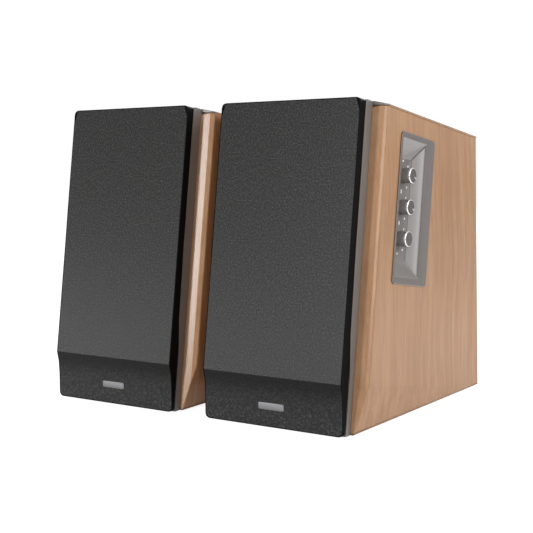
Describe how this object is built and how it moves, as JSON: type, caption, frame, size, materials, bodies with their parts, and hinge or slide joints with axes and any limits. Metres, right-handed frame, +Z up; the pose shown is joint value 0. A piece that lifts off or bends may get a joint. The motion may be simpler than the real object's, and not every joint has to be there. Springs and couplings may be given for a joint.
{
  "type": "desktop speakers",
  "caption": "Pair of two-way desktop speakers with leaning fronts, pull-off cloth grilles, wood side panels and a recessed knob panel in one outer side.",
  "frame": {"origin": "middle of the pair's footprint, on the surface that the feet stand on", "axes": "+X to the listener's right along the pair, +Y from front to back, +Z up"},
  "size_m": [0.3202, 0.222, 0.254],
  "materials": {
    "black_board": "black vinyl covered fibreboard",
    "black_plastic": "fine matt",
    "black_steel": "satin black",
    "chrome": "polished",
    "circuit_board": "solder resist",
    "copper": "enamelled copper wire",
    "grey_plastic": "fine matt",
    "grille_cloth": "charcoal woven cloth",
    "paper_cone": "coated paper",
    "rubber": "matt",
    "silk_dome": "doped silk",
    "wood_veneer": "satin lacquered light veneer",
    "zinc_plate": "zinc plated"
  },
  "bodies": {
    "right_cabinet": {"right_left_side_panel": "wood_veneer", "right_right_side_panel": "wood_veneer", "right_top_panel": "grey_plastic", "right_bottom_panel": "grey_plastic", "right_back_panel": "black_board", "right_front_baffle": "grey_plastic", "right_woofer_basket": "black_steel", "right_woofer_surround": "rubber", "right_woofer_magnet": "zinc_plate", "right_tweeter_faceplate": "black_plastic", "right_tweeter_magnet": "zinc_plate", "right_port_tube": "black_plastic", "right_front_foot": "rubber", "right_rear_foot": "rubber", "right_control_bezel": "grey_plastic", "right_control_board": "circuit_board", "right_treble_potentiometer": "zinc_plate", "right_bass_potentiometer": "zinc_plate", "right_volume_encoder": "zinc_plate", "right_amp_plate": "black_steel", "right_amp_board": "circuit_board", "right_transformer": "zinc_plate", "right_power_inlet": "black_plastic", "right_power_switch_housing": "black_plastic", "right_line_jacks": "black_plastic", "right_link_socket": "black_plastic"},
    "left_cabinet": {"left_left_side_panel": "wood_veneer", "left_right_side_panel": "wood_veneer", "left_top_panel": "grey_plastic", "left_bottom_panel": "grey_plastic", "left_back_panel": "black_board", "left_front_baffle": "grey_plastic", "left_woofer_basket": "black_steel", "left_woofer_surround": "rubber", "left_woofer_magnet": "zinc_plate", "left_tweeter_faceplate": "black_plastic", "left_tweeter_magnet": "zinc_plate", "left_port_tube": "black_plastic", "left_front_foot": "rubber", "left_rear_foot": "rubber", "left_link_panel": "black_plastic", "left_link_socket": "black_plastic", "left_crossover_board": "circuit_board"},
    "right_grille": {"right_grille_frame": "black_plastic", "right_grille_cloth": "grille_cloth"},
    "right_woofer_diaphragm": {"right_woofer_cone": "paper_cone", "right_woofer_dust_cap": "paper_cone", "right_woofer_voice_coil": "copper"},
    "right_tweeter_diaphragm": {"right_tweeter_dome": "silk_dome"},
    "left_grille": {"left_grille_frame": "black_plastic", "left_grille_cloth": "grille_cloth"},
    "left_woofer_diaphragm": {"left_woofer_cone": "paper_cone", "left_woofer_dust_cap": "paper_cone", "left_woofer_voice_coil": "copper"},
    "left_tweeter_diaphragm": {"left_tweeter_dome": "silk_dome"},
    "treble_knob": {"right_treble_knob": "chrome"},
    "bass_knob": {"right_bass_knob": "chrome"},
    "volume_knob": {"right_volume_knob": "chrome"},
    "power_rocker": {"right_power_rocker": "black_plastic"}
  },
  "joints": [
    {"name": "left_speaker_spacing", "type": "slide", "parent": "right_cabinet", "child": "left_cabinet", "axis": [-1, 0, 0], "range_m": [0, 0.3]},
    {"name": "right_grille_pull", "type": "slide", "parent": "right_cabinet", "child": "right_grille", "axis": [0, -0.9848, 0.1736], "range_m": [0, 0.03]},
    {"name": "right_woofer_travel", "type": "slide", "parent": "right_cabinet", "child": "right_woofer_diaphragm", "axis": [0, -0.9848, 0.1736], "range_m": [-0.003, 0.003], "stiffness_N_per_m": 1200, "deforming": ["right_woofer_surround"]},
    {"name": "right_tweeter_travel", "type": "slide", "parent": "right_cabinet", "child": "right_tweeter_diaphragm", "axis": [0, -0.9848, 0.1736], "range_m": [-0.0003, 0.0003], "stiffness_N_per_m": 3000},
    {"name": "left_grille_pull", "type": "slide", "parent": "left_cabinet", "child": "left_grille", "axis": [0, -0.9848, 0.1736], "range_m": [0, 0.03]},
    {"name": "left_woofer_travel", "type": "slide", "parent": "left_cabinet", "child": "left_woofer_diaphragm", "axis": [0, -0.9848, 0.1736], "range_m": [-0.003, 0.003], "stiffness_N_per_m": 1200, "deforming": ["left_woofer_surround"]},
    {"name": "left_tweeter_travel", "type": "slide", "parent": "left_cabinet", "child": "left_tweeter_diaphragm", "axis": [0, -0.9848, 0.1736], "range_m": [-0.0003, 0.0003], "stiffness_N_per_m": 3000},
    {"name": "volume_turn", "type": "hinge", "parent": "right_cabinet", "child": "volume_knob", "pos_m": [0.1598, -0.02563, 0.14321], "axis": [1, 0, 0], "range_deg": [-150, 150]},
    {"name": "bass_turn", "type": "hinge", "parent": "right_cabinet", "child": "bass_knob", "pos_m": [0.1598, -0.02129, 0.16783], "axis": [1, 0, 0], "range_deg": [-150, 150]},
    {"name": "treble_turn", "type": "hinge", "parent": "right_cabinet", "child": "treble_knob", "pos_m": [0.1598, -0.01695, 0.19245], "axis": [1, 0, 0], "range_deg": [-150, 150]},
    {"name": "power_rocker_tip", "type": "hinge", "parent": "right_cabinet", "child": "power_rocker", "pos_m": [0.1039, 0.101, 0.044], "axis": [1, 0, 0], "range_deg": [0, 24]}
  ]
}
